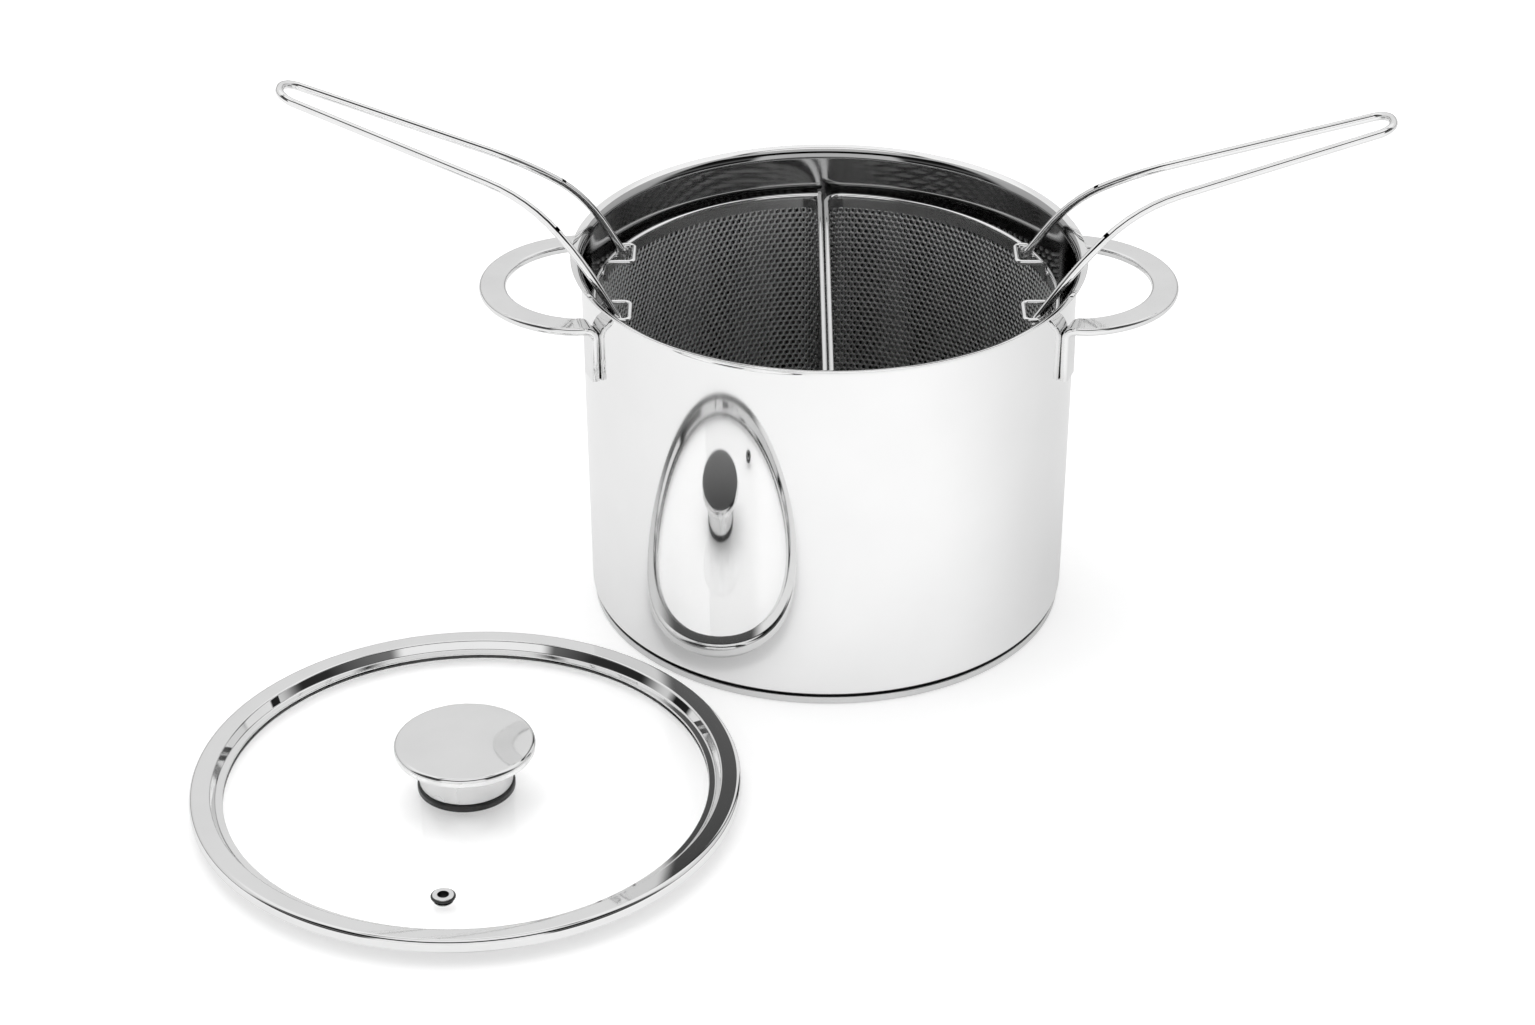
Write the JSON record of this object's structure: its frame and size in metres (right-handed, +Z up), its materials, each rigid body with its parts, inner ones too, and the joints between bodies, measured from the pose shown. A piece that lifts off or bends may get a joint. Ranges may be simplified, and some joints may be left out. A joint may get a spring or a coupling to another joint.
{
  "type": "pasta pot",
  "caption": "Tall straight-sided steel pot with loop handles, half-moon perforated baskets on swinging wire handles, and a glass lid with a steel rim and a disc knob lying beside it.",
  "frame": {"origin": "centre of the underside of the pot's base, on the surface that the pot and the lid stand on", "axes": "+X from the left pot handle to the right one, +Y away from the viewer, +Z up"},
  "size_m": [0.5628, 0.4475, 0.2717],
  "materials": {
    "polished_steel": "mirror-polished stainless steel sheet",
    "base_aluminium": "plain aluminium disc, hidden in the base",
    "base_steel": "polished stainless steel dish",
    "handle_steel": "polished stainless steel flat bar",
    "basket_sheet": "perforated stainless steel sheet, bright",
    "basket_wire": "bright drawn stainless steel wire",
    "lid_glass": "clear tempered glass",
    "lid_steel": "polished stainless steel",
    "black_seal": "black silicone",
    "knob_steel": "polished stainless steel"
  },
  "bodies": {
    "pot": {"pot_body": "polished_steel", "base_core": "base_aluminium", "base_cap": "base_steel", "left_pot_handle": "handle_steel", "right_pot_handle": "handle_steel"},
    "left_basket": {"left_basket_wall": "basket_sheet", "left_basket_floor": "basket_sheet", "left_basket_rim_wire": "basket_wire", "left_basket_back_ear": "basket_wire", "left_basket_front_ear": "basket_wire"},
    "left_wire_handle": {"left_basket_handle": "basket_wire"},
    "right_basket": {"right_basket_wall": "basket_sheet", "right_basket_floor": "basket_sheet", "right_basket_rim_wire": "basket_wire", "right_basket_back_ear": "basket_wire", "right_basket_front_ear": "basket_wire"},
    "right_wire_handle": {"right_basket_handle": "basket_wire"},
    "lid": {"lid_glass": "lid_glass", "lid_rim": "lid_steel", "vent_grommet": "lid_steel", "vent_gasket": "black_seal", "knob_cap": "knob_steel", "knob_stem": "knob_steel", "knob_boss": "knob_steel", "knob_gasket": "black_seal", "glass_washer": "black_seal", "screw_washer": "lid_steel", "knob_screw": "lid_steel"}
  },
  "joints": [
    {"name": "left_basket_lift", "type": "slide", "parent": "pot", "child": "left_basket", "axis": [0, 0, 1], "range_m": [0, 0.2]},
    {"name": "right_basket_lift", "type": "slide", "parent": "pot", "child": "right_basket", "axis": [0, 0, 1], "range_m": [0, 0.2]},
    {"name": "left_handle_swing", "type": "hinge", "parent": "left_basket", "child": "left_wire_handle", "pos_m": [-0.0997, 0, 0.1645], "axis": [0, 1, 0], "range_deg": [-3.5, 35]},
    {"name": "right_handle_swing", "type": "hinge", "parent": "right_basket", "child": "right_wire_handle", "pos_m": [0.0969, 0, 0.1645], "axis": [0, -1, 0], "range_deg": [-4.5, 41]},
    {"name": "lid_lift", "type": "slide", "parent": "pot", "child": "lid", "axis": [0, 0, 1], "range_m": [0, 0.2]}
  ]
}
